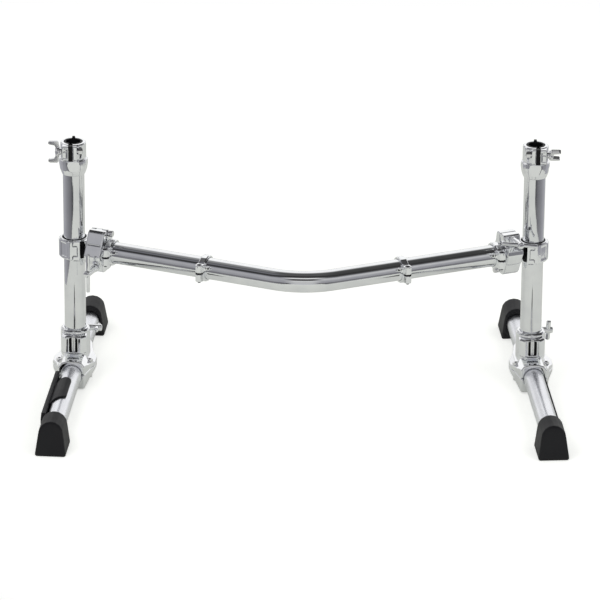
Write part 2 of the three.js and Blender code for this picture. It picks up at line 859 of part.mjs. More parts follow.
// T-screw about its own axis, which runs along -Y; the cross rod passes through the hub
function tScrew( shaft_r, tail, start, hub_r, reach, cross_r, cross_length, inset ) {

	const body = lathe( [
		[ 0, - reach ], [ hub_r - cast_bevel / 2, - reach ], [ hub_r, cast_bevel / 2 - reach ], [ hub_r, - start ],
		[ shaft_r, - start ], [ shaft_r, tail ], [ 0, tail ],
	], 'y', [ 0, 0, 0 ], small_sides );
	const half = cross_length / 2;
	const round = cross_r / 3;
	const cross = lathe( [
		[ 0, - half ], [ cross_r - round, - half ], [ cross_r, round - half ], [ cross_r, half - round ],
		[ cross_r - round, half ], [ 0, half ],
	], 'x', [ 0, inset - reach, 0 ], small_sides );
	return join( body, cross );

}

// Memory lock, drawn about the bar's axis along X, its front towards -Y and the frame's middle towards +X
function lockRing( low, high ) {

	const half = lock_width / 2;
	const ring = disc( bar_r + lock_wall, - half, half, cast_bevel, 'x', [ 0, 0, 0 ], ring_sides );
	const far = lock_boss_out + lock_boss_d;
	return ring.intersect( block( [ - far, - far, low ], [ far, far, high ] ) );

}

function lockBoss( low, high ) {

	const round = rod( lock_boss_d / 2, 'z', low, high, [ 0, - lock_boss_out, 0 ] );
	const web = block( [ - lock_boss_d / 2, - lock_boss_out, low ], [ lock_boss_d / 2, - bar_r, high ] );
	return join( round, web );

}

function lockBore() {

	return rod( boreRadius( bar_r ), 'x', - lock_width, lock_width, [ 0, 0, 0 ], tube_sides );

}

function lockScrewHole() {

	const centre = [ 0, - lock_boss_out, 0 ];
	return rod( lock_screw_d / 2 + fit_gap, 'z', - lock_boss_half * 2, lock_boss_half * 2, centre, small_sides );

}

const lock_hinge_at = [ 0, bar_r + lock_wall, 0 ];

function lockBody() {

	const far = bar_r + lock_wall + lock_boss_d;
	const seat = rod(
		lock_head_d / 2 + fit_gap, 'z', lock_boss_half - lock_head_depth - fit_gap, lock_boss_half + overrun,
		[ 0, - lock_boss_out, 0 ] );
	const key_front = - bar_r - lock_wall;
	const key_bottom = lock_split / 2 + cast_bevel;
	const key = block(
		[ lock_width / 2 - cast_bevel, key_front, key_bottom ],
		[ lock_width / 2 + lock_key_length, key_front + lock_key_width, key_bottom + lock_key_height ] );
	const barrel = rod( lock_hinge_d / 2, 'x', - lock_width / 2, lock_width / 2, lock_hinge_at );
	return cut(
		join( lockRing( fit_gap, far ), lockBoss( lock_split / 2, lock_boss_half ), key, barrel ),
		lockBore(), lockScrewHole(), seat );

}

function lockStrap() {

	const far = bar_r + lock_wall + lock_boss_d;
	const barrel = rod( lock_hinge_d / 2 + fit_gap, 'x', - lock_width, lock_width, lock_hinge_at );
	return cut(
		join( lockRing( - far, - fit_gap ), lockBoss( - lock_boss_half, - lock_split / 2 ) ),
		lockBore(), lockScrewHole(), barrel );

}

function lockScrew() {

	const seat = lock_boss_half - lock_head_depth;
	const tip = - lock_boss_half - lock_tip;
	const centre = [ 0, - lock_boss_out, 0 ];
	const body = lathe( [
		[ 0, tip ], [ lock_screw_d / 2, tip ], [ lock_screw_d / 2, seat ], [ lock_head_d / 2, seat ],
		[ lock_head_d / 2, lock_boss_half ], [ 0, lock_boss_half ],
	], 'z', centre, small_sides );
	return cut( body, rod(
		lock_screw_d * key_share, 'z', seat + lock_head_depth / 3, lock_boss_half + overrun, centre, hex_sides ) );

}

// Base clamp, drawn about the post's axis, with the leg along Y and the outer side towards +X
function legBore() {

	const reach = front_leg_length + rear_leg_length;
	return rod( boreRadius( leg_r ), 'y', - reach, reach, [ 0, 0, leg_axis_height ], tube_sides );

}

function saddleBoltHole( side ) {

	const centre = [ side * saddle_bolt_offset, - saddle_bolt_front, 0 ];
	return rod( saddle_bolt_d / 2 + fit_gap, 'z', - overrun, socket_top, centre, small_sides );

}

function saddlePlan( low, high ) {

	const points = saddle_plan_shares.map( ( [ x, y ] ) => [
		x * ( x > 0 ? saddle_outer_width : saddle_inner_width ), y * saddle_half_length,
	] );
	return plate( points, low, high );

}

function baseCasting() {

	const socket_r = boreRadius( post_r ) + socket_wall;
	const floor = leg_axis_height + fit_gap / 2;
	const leg_top = leg_axis_height + leg_r;
	const crown = leg_top + saddle_cover;
	const flange = leg_r + saddle_cover;
	const arch = profileY( [
		[ - saddle_inner_width, floor ], [ saddle_outer_width, floor ],
		[ saddle_outer_width, floor + saddle_cover ],
		[ flange + cast_bevel, leg_top - saddle_cover ], [ leg_r, crown - edge_bevel ], [ leg_r / 2, crown ],
		[ - leg_r / 2, crown ], [ - leg_r, crown - edge_bevel ], [ - flange - cast_bevel, leg_top - saddle_cover ],
		[ - saddle_inner_width, floor + saddle_cover ],
	], - saddle_half_length, saddle_half_length, cast_bevel );
	const saddle = arch.intersect( saddlePlan( floor - overrun, crown + overrun ) );
	const socket = disc( socket_r, socket_bottom, socket_top, edge_bevel );
	const boss_half = front_boss_width / 2;
	const boss_side = front_boss_corner - front_boss_reach;
	const boss_front = boss_half - front_boss_corner;
	const boss = plate( [
		[ - boss_half, 0 ], [ - boss_half, boss_side ], [ - boss_front, - front_boss_reach ],
		[ boss_front, - front_boss_reach ], [ boss_half, boss_side ], [ boss_half, 0 ],
	], front_boss_bottom, socket_top - front_boss_margin, edge_bevel );
	const window_top = socket_top - front_boss_margin - edge_bevel;
	const opening = block(
		[ - window_width / 2, - front_boss_reach - overrun, window_top - window_height ],
		[ window_width / 2, window_depth - front_boss_reach, window_top ] );
	const lug = block(
		[ - base_lug_half_width, 0, socket_top - base_lug_height ],
		[ base_lug_half_width, base_lug_back, socket_top - cast_bevel ] );
	const slit = block(
		[ - split_gap / 2, 0, socket_floor ],
		[ split_gap / 2, base_lug_back + overrun, socket_top + overrun ] );
	const bore = rod( boreRadius( post_r ), 'z', socket_floor, socket_top + overrun, [ 0, 0, 0 ], tube_sides );
	const screw = rod(
		boreRadius( base_screw_d / 2, rod_sides ), 'x', - saddle_outer_width, saddle_outer_width,
		[ 0, base_screw_back, socket_top - base_lug_height / 2 ] );
	const seat_r = saddle_bolt_head_d / 2 + 2 * fit_gap;
	const seats = [ - 1, 1 ].map( ( side ) => rod(
		seat_r, 'z', saddle_bolt_seat, socket_top, [ side * saddle_bolt_offset, - saddle_bolt_front, 0 ] ) );
	return cut(
		join( cut( saddle, ...seats ), socket, boss, lug ),
		bore, slit, opening, basePinHole(), screw, legBore(), saddleBoltHole( - 1 ), saddleBoltHole( 1 ) );

}

function basePinHole() {

	const y = window_depth / 2 - front_boss_reach + cast_bevel;
	const top = socket_top - front_boss_margin;
	const seat = front_boss_bottom + cast_bevel;
	return rod( base_pin_d / 2 + fit_gap, 'z', seat, top + overrun, [ 0, y, 0 ], small_sides );

}

function basePin() {

	const y = window_depth / 2 - front_boss_reach + cast_bevel;
	const top = socket_top - front_boss_margin;
	const seat = front_boss_bottom + cast_bevel + fit_gap;
	return disc( base_pin_d / 2, seat, top, cast_bevel / 2, 'z', [ 0, y, 0 ], small_sides );

}

function baseSaddle() {

	const top = leg_axis_height - fit_gap / 2;
	const edge = top - saddle_cover;
	const foot_half = leg_r + saddle_cover / 2;
	const trough = profileY( [
		[ - saddle_inner_width, top ], [ - saddle_inner_width, edge ], [ - foot_half, saddle_bottom ],
		[ foot_half, saddle_bottom ], [ saddle_outer_width, edge ], [ saddle_outer_width, top ],
	], - saddle_half_length, saddle_half_length, cast_bevel );
	const body = trough.intersect( saddlePlan( 0, top + overrun ) );
	return cut( body, legBore(), saddleBoltHole( - 1 ), saddleBoltHole( 1 ) );

}

function saddleBolt( side ) {

	const seat = saddle_bolt_seat + fit_gap;
	const head = seat + saddle_bolt_head_height;
	const centre = [ side * saddle_bolt_offset, - saddle_bolt_front, 0 ];
	const body = lathe( [
		[ 0, saddle_bolt_tip ], [ saddle_bolt_d / 2, saddle_bolt_tip ], [ saddle_bolt_d / 2, seat ],
		[ saddle_bolt_head_d / 2, seat ], [ saddle_bolt_head_d / 2, head ], [ 0, head ],
	], 'z', centre, small_sides );
	return cut( body, rod(
		saddle_bolt_d * key_share, 'z', seat + saddle_bolt_head_height / 3, head + overrun, centre, hex_sides ) );

}

// Leg, straight through the saddle, with its ends inside the feet
function legTube() {

	const inset = foot_length - foot_bore_depth + fit_gap;
	return tube( leg_r, leg_wall, 'y', front_y + inset, rear_y - inset, [ 0, 0, leg_axis_height ] );

}

// Arched rubber foot at the -Y end, wider at the sole; its outer face leans back towards the post at the top
function footRing( arch_width, height, y, lean ) {

	const r = arch_width / 2;
	const half = foot_base_width / 2;
	const ring = [];
	for ( let k = 0; k <= foot_arch_steps; k ++ ) {

		const turn = Math.PI * k / foot_arch_steps;
		ring.push( [ r * Math.cos( turn ), height - r + r * Math.sin( turn ) ] );

	}

	ring.push( [ - half, foot_bevel ], [ foot_bevel - half, 0 ] );
	ring.push( [ half - foot_bevel, 0 ], [ half, foot_bevel ] );
	return ring.map( ( [ x, z ] ) => [ x, y + lean * z / height, z ] );

}

function foot( reach ) {

	const outer = - reach;
	const inner = foot_length - reach;
	const bevel = foot_bevel;
	const shrink = ( ring, centre_z ) => ring.map( ( [ x, y, z ] ) => {

		const keep = 1 - bevel / ( foot_inner_arch_width / 2 );
		return [ x * keep, y, Math.max( centre_z + ( z - centre_z ) * keep, 0 ) ];

	} );
	const mid_z = foot_outer_height / 2;
	const body = loft( [
		shrink( footRing( foot_outer_arch_width, foot_outer_height, outer, foot_lean ), mid_z ),
		footRing( foot_outer_arch_width, foot_outer_height, outer + bevel, foot_lean ),
		footRing( foot_inner_arch_width, foot_inner_height, inner - bevel, 0 ),
		shrink( footRing( foot_inner_arch_width, foot_inner_height, inner, 0 ), mid_z ),
	] );
	const bore = rod(
		boreRadius( leg_r ), 'y', inner - foot_bore_depth, inner + overrun, [ 0, 0, leg_axis_height ], tube_sides );
	return cut( body, bore );

}

// Rubber strip along the outer side of the right leg
function legStrip() {

	const start = - front_leg_length + foot_length + split_gap;
	const bar = block(
		[ leg_r / 2, start, leg_axis_height - strip_width / 2 ],
		[ leg_r + strip_proud, - saddle_half_length - split_gap, leg_axis_height + strip_width / 2 ] );
	return cut( bar, legBore() );

}

// Guard on the left leg: a side rail with a pad that wraps over the tube
function legGuard() {

	const outer = - leg_r - split_gap / 2 - rail_thickness;
	const inner = outer + rail_thickness;
	const rail_end = - guard_start - rail_length;
	const rail = profileX( [
		[ - guard_start, rail_bottom ], [ - guard_start, rail_top ], [ rail_end + rail_slant, rail_top ],
		[ rail_end, rail_top - rail_slant ], [ rail_end, rail_bottom ],
	], outer, inner, cast_bevel );
	const lip = block(
		[ inner - cast_bevel * 2, rail_end + rail_slant, rail_bottom + cast_bevel ],
		[ - leg_r / 2, - guard_start - cast_bevel, leg_axis_height ] );
	const wrap_r = boreRadius( leg_r ) + pad_wall;
	const far = - pad_start - pad_length;
	const sleeve = rod( wrap_r, 'y', far, - pad_start, [ 0, 0, leg_axis_height ], tube_sides );
	const edge = scaled( pad_edge_shares, leg_r, pad_corner ).map( ( [ x, y ] ) => [ x, - pad_start - y ] );
	const inner_edge = edge[ edge.length - 1 ][ 0 ];
	const plan = plate( [
		[ - wrap_r - overrun, - pad_start - pad_corner ], ...edge, [ inner_edge, far + pad_diagonal ],
		[ - wrap_r - overrun, far ],
	], leg_axis_height, leg_axis_height + wrap_r + overrun );
	return cut( join( rail, lip, sleeve.intersect( plan ) ), legBore() );

}

// Assembly
const rack = new THREE.Group();
const sides = [ { name: 'left', sign: - 1 }, { name: 'right', sign: 1 } ];
piece( rack, 'cross_bar', crossBar(), 'chrome' );

for ( const { name, sign } of sides ) {

	const left = sign < 0;
	const stand = frameAt( rack, sign * post_x, 0, 0 );
	piece( stand, `${ name }_post`, post(), 'chrome' );
	piece( stand, `${ name }_collar`, collar(), 'chrome', left );
	piece( stand, `${ name }_collar_bush`, collarBush(), 'nylon', left );
	piece( stand, `${ name }_collar_nut`, collarNut(), 'steel', left );
	const wing = frameAt( stand, 0, - collar_screw_offset, collar_screw_height );
	wing.rotation.x = THREE.MathUtils.degToRad( wing_turns[ name ] );
	piece( wing, `${ name }_wing_screw`, wingScrew(), 'steel', left );

	const base = frameAt( stand, 0, 0, 0 );
	base.rotation.z = sign * toe_angle;
	piece( base, `${ name }_base_casting`, baseCasting(), 'chrome', left );
	piece( base, `${ name }_base_saddle`, baseSaddle(), 'chrome', left );
	piece( base, `${ name }_base_pin`, basePin(), 'steel' );
	piece( base, `${ name }_saddle_bolt_outer`, saddleBolt( sign ), 'steel' );
	piece( base, `${ name }_saddle_bolt_inner`, saddleBolt( - sign ), 'steel' );
	piece( base, `${ name }_leg_tube`, legTube(), 'satin' );
	piece( base, `${ name }_front_foot`, foot( front_leg_length ), 'rubber' );
	const rear = frameAt( base, 0, 0, 0 );
	rear.rotation.z = Math.PI;
	piece( rear, `${ name }_rear_foot`, foot( rear_leg_length ), 'rubber' );
	if ( left ) piece( base, 'left_leg_guard', legGuard(), 'rubber' );
	else piece( base, 'right_leg_strip', legStrip(), 'rubber' );
	const screw = frameAt( base, 0, base_screw_back, socket_top - base_lug_height / 2 );
	screw.rotation.z = Math.PI / 2;
	const screw_turn = frameAt( screw, 0, 0, 0 );
	screw_turn.rotation.y = THREE.MathUtils.degToRad( base_screw_turns[ name ] );
	piece( screw_turn, `${ name }_base_t_screw`, tScrew(
		base_screw_d / 2, base_lug_half_width + cast_bevel, base_lug_half_width + fit_gap, base_screw_hub_d / 2,
		base_screw_reach, base_cross_d / 2, base_cross_length, base_cross_d ), 'chrome' );

	const clamp = frameAt( stand, 0, 0, bar_height );
	if ( ! left ) clamp.rotation.y = Math.PI;
	piece( clamp, `${ name }_clamp_body`, clampBody(), 'chrome' );
	piece( clamp, `${ name }_clamp_liner`, clampLiner(), 'nylon' );
	piece( clamp, `${ name }_post_jaw`, postJaw(), 'chrome' );
	piece( clamp, `${ name }_post_jaw_pin`, postJawPin(), 'steel' );
	piece( clamp, `${ name }_post_jaw_screw`, postJawScrew(), 'steel' );
	piece( clamp, `${ name }_bar_jaw`, barJaw(), 'chrome' );
	piece( clamp, `${ name }_bar_jaw_pin`, barJawPin(), 'steel' );
	const arm = frameAt( clamp, 0, 0, 0 );
	arm.rotation.z = - bar_angle;
	const handle = frameAt( arm, block_mid, 0, - t_drop );
	handle.rotation.y = THREE.MathUtils.degToRad( bar_screw_turns[ name ] );
	piece( handle, `${ name }_bar_t_screw`, tScrew(
		t_shaft_d / 2, t_tail, t_hub_start, t_hub_d / 2,
		t_reach, t_cross_d / 2, t_cross_length, t_cross_inset ), 'chrome' );

	for ( const [ place, station ] of [ [ 'end', end_lock_station ], [ 'inner', inner_lock_station ] ] ) {

		const x = - sign * station * Math.cos( bar_angle );
		const lock = frameAt( stand, x, - station * Math.sin( bar_angle ), bar_height );
		lock.rotation.z = sign * bar_angle;
		piece( lock, `${ name }_${ place }_lock_body`, lockBody(), 'chrome', ! left );
		piece( lock, `${ name }_${ place }_lock_strap`, lockStrap(), 'chrome', ! left );
		piece( lock, `${ name }_${ place }_lock_screw`, lockScrew(), 'steel', ! left );

	}

}

// The origin lies on the floor under the middle of the frame's own box
rack.updateMatrixWorld( true );
const extent = new THREE.Box3().setFromObject( rack, true );
rack.position.set( 0, - ( extent.min.y + extent.max.y ) / 2, 0 );

export default rack;
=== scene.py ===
"""Drum rack frame: smooth chrome pieces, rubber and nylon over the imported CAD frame. Metres, +Z up."""
import json
import math

import bmesh
import bpy
from mathutils import Matrix, Vector


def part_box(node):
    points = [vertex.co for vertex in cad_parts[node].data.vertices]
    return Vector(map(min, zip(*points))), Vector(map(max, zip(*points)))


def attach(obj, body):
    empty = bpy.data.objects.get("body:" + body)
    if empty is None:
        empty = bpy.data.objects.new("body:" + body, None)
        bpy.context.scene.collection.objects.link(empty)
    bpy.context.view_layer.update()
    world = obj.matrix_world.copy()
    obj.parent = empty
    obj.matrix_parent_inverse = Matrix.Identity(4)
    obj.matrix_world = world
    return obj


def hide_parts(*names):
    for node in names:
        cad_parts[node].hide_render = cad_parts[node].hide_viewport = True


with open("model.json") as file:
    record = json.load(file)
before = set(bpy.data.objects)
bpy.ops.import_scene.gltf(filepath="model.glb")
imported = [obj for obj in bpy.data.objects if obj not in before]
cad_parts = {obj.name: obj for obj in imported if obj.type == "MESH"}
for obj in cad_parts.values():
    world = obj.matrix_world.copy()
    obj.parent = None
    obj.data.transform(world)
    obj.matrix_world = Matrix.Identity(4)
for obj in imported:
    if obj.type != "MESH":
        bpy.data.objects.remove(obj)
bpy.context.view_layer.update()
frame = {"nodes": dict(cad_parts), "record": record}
nodes = frame["nodes"]
scene = bpy.context.scene
MM = 0.001

# Sizes of the CAD and places of its screws and pins, in millimetres and radians
POST_X = 406.0
POST_Y = (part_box("left_post")[0][1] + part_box("left_post")[1][1]) * 500  # the post's middle, from metres
POST_R, POST_WALL = 19.05, 2.0
BAR_R, BAR_WALL, BAR_Z, BAR_ANGLE, BEND_R = 19.05, 2.4, 253.0, math.radians(23.5), 127.0
LEG_R, LEG_WALL, LEG_Z, TOE = 18.0, 2.0, 30.0, math.radians(4.4)
FRONT_REACH, REAR_REACH, FOOT_WALL = 356.0, 264.0, 18.3
RIM_Z, LEDGE_Z, SOCKET_FLOOR, TUBE_GAP = 450.0, 420.0, 52.0, 0.3
BLOCK_START, T_X, T_DROP = 31.0, 47, 30.0
WING_Y, WING_Z = -21, RIM_Z - 12
BOLT_X, BOLT_Y, BASE_T_Y, BASE_T_Z, WINDOW_PIN_Y = 27.5, -16, 30, 86, -29.5
POST_PIN_X, POST_PIN_Y, PINCH_X, PINCH_Y, BAR_PIN_Y, BAR_PIN_Z = 2, -25, -11.3, 31.06, 8, 31
LOCK_STATIONS = {"end": 74, "inner": 256}
LOCK_SCREW_Y = -27
SIDES = {"left": -1, "right": 1}

# How far each hand screw is turned, in degrees
WING_TURNS = {"left": 0, "right": 50}
BASE_TURNS = {"left": 8, "right": 72}
BAR_TURNS = {"left": 90, "right": 13}

CREASE = 40  # pieces with flat faces keep edges sharper than this, in degrees
MIRROR = Matrix.Scale(-1, 4, (1, 0, 0))


# ---------------------------------------------------------------- places
def shift(x=0.0, y=0.0, z=0.0):
    return Matrix.Translation((x, y, z))


def turn(angle, axis):
    return Matrix.Rotation(angle, 4, axis)


def flip(side):
    """Parts drawn for the right side are mirrored on the left."""
    return Matrix.Identity(4) if side == "right" else MIRROR


def stand_at(side):
    return shift(SIDES[side] * POST_X, POST_Y, 0)


def collar_at(side):
    return stand_at(side) @ flip(side)


def base_at(side):
    return stand_at(side) @ turn(SIDES[side] * TOE, "Z")


def saddle_at(side):
    return base_at(side) @ flip(side)


def rear_foot_at(side):
    return base_at(side) @ turn(math.pi, "Z") @ shift(0, FRONT_REACH - REAR_REACH, 0)


def clamp_at(side):
    """The right clamp is the left one turned upside down."""
    place = stand_at(side) @ shift(0, 0, BAR_Z)
    return place if side == "left" else place @ turn(math.pi, "Y")


def arm_at(side):
    return clamp_at(side) @ turn(-BAR_ANGLE, "Z")


def lock_at(side, station):
    """Station along the bar from the post's axis, with +X towards the middle of the bar."""
    sign = SIDES[side]
    x = -sign * station * math.cos(BAR_ANGLE)
    place = stand_at(side) @ shift(x, -station * math.sin(BAR_ANGLE), BAR_Z) @ turn(sign * BAR_ANGLE, "Z")
    return place if side == "left" else place @ MIRROR


# ---------------------------------------------------------------- materials
def surface(name, **values):
    """New material, with what is the same all over set on the shader's own sockets."""
    mat = bpy.data.materials.new(name)
    mat.use_nodes = True
    tree = mat.node_tree
    shader = tree.nodes["Principled BSDF"]
    for key, value in values.items():
        shader.inputs[key.replace("_", " ")].default_value = value
    return mat, tree, shader


def node(tree, kind, **values):
    n = tree.nodes.new(kind)
    for key, value in values.items():
        if key in n.inputs:
            n.inputs[key].default_value = value
        else:
            setattr(n, key, value)
    return n


def coords(tree, scale=(1, 1, 1)):
    place = tree.nodes.new("ShaderNodeTexCoord")
    mapping = tree.nodes.new("ShaderNodeMapping")
    mapping.inputs["Scale"].default_value = scale
    tree.links.new(place.outputs["Object"], mapping.inputs["Vector"])
    return mapping.outputs["Vector"]


def noise(tree, vector, scale, detail=3.0, roughness=0.5):
    n = node(tree, "ShaderNodeTexNoise", Scale=scale, Detail=detail, Roughness=roughness)
    tree.links.new(vector, n.inputs["Vector"])
    return n.outputs["Fac"]


def ramp(tree, value, stops):
    n = tree.nodes.new("ShaderNodeValToRGB")
    while len(n.color_ramp.elements) < len(stops):
        n.color_ramp.elements.new(0.5)
    for element, (at, color) in zip(n.color_ramp.elements, stops):
        element.position = at
        element.color = (*color, 1)
    tree.links.new(value, n.inputs["Fac"])
    return n.outputs["Color"]


def spread(tree, value, low, high, out_low, out_high):
    n = node(tree, "ShaderNodeMapRange")
    for key, v in (("From Min", low), ("From Max", high), ("To Min", out_low), ("To Max", out_high)):
        n.inputs[key].default_value = v
    tree.links.new(value, n.inputs["Value"])
    return n.outputs["Result"]


def colour(tree, shader, pattern, low, dark, high, pale):
    """Base colour between two shades, from the pattern's low values to its high ones."""
    tree.links.new(ramp(tree, pattern, [(low, dark), (high, pale)]), shader.inputs["Base Color"])


def polish(tree, shader, pattern, low, high, smooth, rough):
    """Roughness between two values, from the pattern's low values to its high ones."""
    tree.links.new(spread(tree, pattern, low, high, smooth, rough), shader.inputs["Roughness"])


def bump(tree, shader, height, strength, distance, normal=None):
    """Bump on the shader, laid over an earlier one where its normal is given."""
    n = node(tree, "ShaderNodeBump", Strength=strength, Distance=distance)
    tree.links.new(height, n.inputs["Height"])
    if normal is not None:
        tree.links.new(normal, n.inputs["Normal"])
    tree.links.new(n.outputs["Normal"], shader.inputs["Normal"])
    return n.outputs["Normal"]


def polished_chrome(name, wave, shade):
    """Chrome plate: nearly a mirror, with faint haze in patches and soft waves left by the polish."""
    mat, tree, shader = surface(name, Metallic=1.0)
    at = coords(tree)
    haze = noise(tree, at, scale=38, detail=4)
    dark, pale = (shade, shade + 0.01, shade + 0.03), (shade + 0.08, shade + 0.09, shade + 0.10)
    colour(tree, shader, haze, 0.3, dark, 0.7, pale)
    polish(tree, shader, haze, 0.3, 0.75, 0.035, 0.085)
    soft = bump(tree, shader, noise(tree, at, scale=70, detail=2), wave, 0.0006)
    bump(tree, shader, noise(tree, at, scale=900, detail=2), 0.02, 0.0001, soft)
    return mat


def satin_chrome():
    """Brushed chrome of the legs: fine lines round the tube."""
    mat, tree, shader = surface("satin_chrome", Metallic=1.0)
    lines = noise(tree, coords(tree, (20, 900, 20)), scale=3, detail=5, roughness=0.6)
    broad = noise(tree, coords(tree), scale=14, detail=3)
    colour(tree, shader, broad, 0.3, (0.83, 0.84, 0.88), 0.7, (0.90, 0.91, 0.94))
    polish(tree, shader, lines, 0.3, 0.7, 0.20, 0.34)
    bump(tree, shader, lines, 0.12, 0.0002)
    return mat


def plated_steel(name, dark, pale, smooth):
    """Screws and pins: a little duller than the castings, with a fine grain."""
    mat, tree, shader = surface(name, Metallic=1.0)
    fine = noise(tree, coords(tree), scale=420, detail=4)
    colour(tree, shader, fine, 0.3, (dark, dark, dark + 0.01), 0.75, (pale, pale, pale + 0.01))
    polish(tree, shader, fine, 0.3, 0.7, smooth, smooth + 0.06)
    bump(tree, shader, fine, 0.03, 0.0002)
    return mat


def black_rubber():
    """Moulded rubber: grey bloom in patches over near black, pebbled finely."""
    mat, tree, shader = surface("black_rubber", Specular_IOR_Level=0.38)
    at = coords(tree)
    bloom = noise(tree, at, scale=22, detail=5, roughness=0.6)
    colour(tree, shader, bloom, 0.3, (0.004, 0.004, 0.006), 0.72, (0.011, 0.011, 0.013))
    polish(tree, shader, bloom, 0.3, 0.7, 0.48, 0.62)
    grain = node(tree, "ShaderNodeTexVoronoi", Scale=1150.0)
    tree.links.new(at, grain.inputs["Vector"])
    pebble = bump(tree, shader, grain.outputs["Distance"], 0.25, 0.0002)
    bump(tree, shader, noise(tree, at, scale=120, detail=3), 0.12, 0.0006, pebble)
    return mat


def black_nylon():
    """Moulded nylon: near black and dull, with a very fine grain. It also fills holes, slots and gaps as
    painted shade.
    """
    mat, tree, shader = surface("black_nylon", Specular_IOR_Level=0.25)
    at = coords(tree)
    soft = noise(tree, at, scale=160, detail=4)
    colour(tree, shader, soft, 0.3, (0.003, 0.003, 0.004), 0.7, (0.007, 0.007, 0.008))
    polish(tree, shader, soft, 0.3, 0.7, 0.42, 0.55)
    bump(tree, shader, noise(tree, at, scale=800, detail=2), 0.08, 0.0001)
    return mat


MATERIALS = {
    "chrome": polished_chrome("chrome_tube", wave=0.02, shade=0.84),
    "cast_chrome": polished_chrome("chrome_casting", wave=0.16, shade=0.89),
    "satin_chrome": satin_chrome(),
    "bright_steel": plated_steel("bright_steel", dark=0.78, pale=0.89, smooth=0.05),
    "dark_steel": plated_steel("dark_steel", dark=0.02, pale=0.05, smooth=0.22),
    "black_rubber": black_rubber(),
    "black_nylon": black_nylon(),
}


# ---------------------------------------------------------------- mesh helpers
def body_of(cad_node):
    for body, members in frame["record"]["behaviour"]["bodies"].items():
        if cad_node in members:
            return body
    raise ValueError(cad_node)


def linked(name, data):
    """New object of the scene."""
    obj = bpy.data.objects.new(name, data)
    scene.collection.objects.link(obj)
    return obj


def moved(mesh, matrix):
    """Copy of the mesh in its new place. A mirrored copy keeps its faces outward."""
    out = mesh.copy()
    out.transform(matrix)
    if matrix.determinant() < 0:
        out.flip_normals()
    return out


def finished(name, shape, finish, stands_for, place=Matrix.Identity(4), crease=None):
    """A copy of a shape in millimetres becomes a piece that rides with the CAD node that it stands for."""
    mesh = moved(shape, Matrix.Scale(MM, 4) @ place)
    mesh.name = name
    mesh.materials.clear()
    mesh.materials.append(MATERIALS[finish])
    mesh.shade_smooth()
    if crease is not None:
        mesh.set_sharp_from_angle(angle=math.radians(crease))
    piece = linked(name, mesh)
    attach(piece, body_of(stands_for))
    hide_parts(stands_for)


def mesh_from(verts, faces):
    """Mesh from its corners and faces, with the faces turned outward."""
    mesh = bpy.data.meshes.new("m")
    mesh.from_pydata([tuple(v) for v in verts], [], faces)
    mesh.validate()
    mesh.update()
    work = bmesh.new()
    work.from_mesh(mesh)
    bmesh.ops.recalc_face_normals(work, faces=work.faces)
    work.to_mesh(mesh)
    work.free()
    return mesh


def joined(*meshes):
    """One mesh of several shells."""
    work = bmesh.new()
    for mesh in meshes:
        work.from_mesh(mesh)
    out = bpy.data.meshes.new("m")
    work.to_mesh(out)
    work.free()
    return out


def circle(r, sides):
    """Corners of a regular polygon, the first one on +X."""
    angles = [2 * math.pi * k / sides for k in range(sides)]
    return [(r * math.cos(angle), r * math.sin(angle)) for angle in angles]


def lathe(profile, sides=48, along="Z"):
    """Turned body from (radius, station) pairs. It closes on the axis at radius 0, or else makes a ring."""
    ring = profile[0][0] > 0
    verts, faces, rows = [], [], []
    for r, s in profile:
        if r == 0:
            rows.append([len(verts)] * sides)
            verts.append(Vector((0, 0, s)))
        else:
            rows.append(list(range(len(verts), len(verts) + sides)))
            verts.extend(Vector((x, y, s)) for x, y in circle(r, sides))
    pairs = list(zip(rows, rows[1:])) + ([(rows[-1], rows[0])] if ring else [])
    for a, b in pairs:
        for k in range(sides):
            n = (k + 1) % sides
            face = list(dict.fromkeys((a[k], a[n], b[n], b[k])))
            if len(face) > 2:
                faces.append(face)
    mesh = mesh_from(verts, faces)
    if along == "X":
        mesh.transform(turn(math.pi / 2, "Y"))
    if along == "Y":
        mesh.transform(turn(-math.pi / 2, "X"))
    return mesh


def rounded(profile, radius, steps=3, share=2.2):
    """Profile with each inner corner cut to a small arc, which takes at most 1/share of either edge."""
    out = [profile[0]]
    for before, at, after in zip(profile, profile[1:], profile[2:]):
        a, p, b = Vector(before), Vector(at), Vector(after)
        r = min(radius, (a - p).length / share, (b - p).length / share)
        start, end = p + (a - p).normalized() * r, p + (b - p).normalized() * r
        for i in range(steps + 1):
            t = i / steps
            out.append(tuple(start * (1 - t) ** 2 + p * 2 * t * (1 - t) + end * t ** 2))
    out.append(profile[-1])
    return [(max(r, 0.0), s) for r, s in out]


def swept_tube(centres, r_out, wall, sides=128, lip=0.5):
    """Hollow tube through a flat path of (point, tangent). Its mouths have small bevelled lips."""
    r_in = r_out - wall
    mouth = [(0, r_in), (0, r_in + lip), (0, r_out - lip), (lip, r_out)]
    first, last = centres[0], centres[-1]
    outline = [(first[0] + first[1] * depth, first[1], r) for depth, r in mouth]
    outline += [(point, tangent, r_out) for point, tangent in centres[1:-1]]
    outline += [(last[0] - last[1] * depth, last[1], r) for depth, r in reversed(mouth)]
    outline += [(point, tangent, r_in) for point, tangent in reversed(centres[1:-1])]
    rows, verts, faces = [], [], []
    for point, tangent, r in outline:
        side = tangent.cross(Vector((0, 0, 1)))
        if side.length < 0.5:  # an upright tube
            side = Vector((1, 0, 0))
        side.normalize()
        up = side.cross(tangent).normalized()
        rows.append(list(range(len(verts), len(verts) + sides)))
        verts.extend(point + side * x + up * y for x, y in circle(r, sides))
    for a, b in zip(rows, rows[1:] + rows[:1]):
        for k in range(sides):
            n = (k + 1) % sides
            faces.append((a[k], a[n], b[n], b[k]))
    return mesh_from(verts, faces)


def evaluated(obj):
    """The object's mesh with its modifiers applied."""
    graph = bpy.context.evaluated_depsgraph_get()
    graph.update()
    return bpy.data.meshes.new_from_object(obj.evaluated_get(graph))


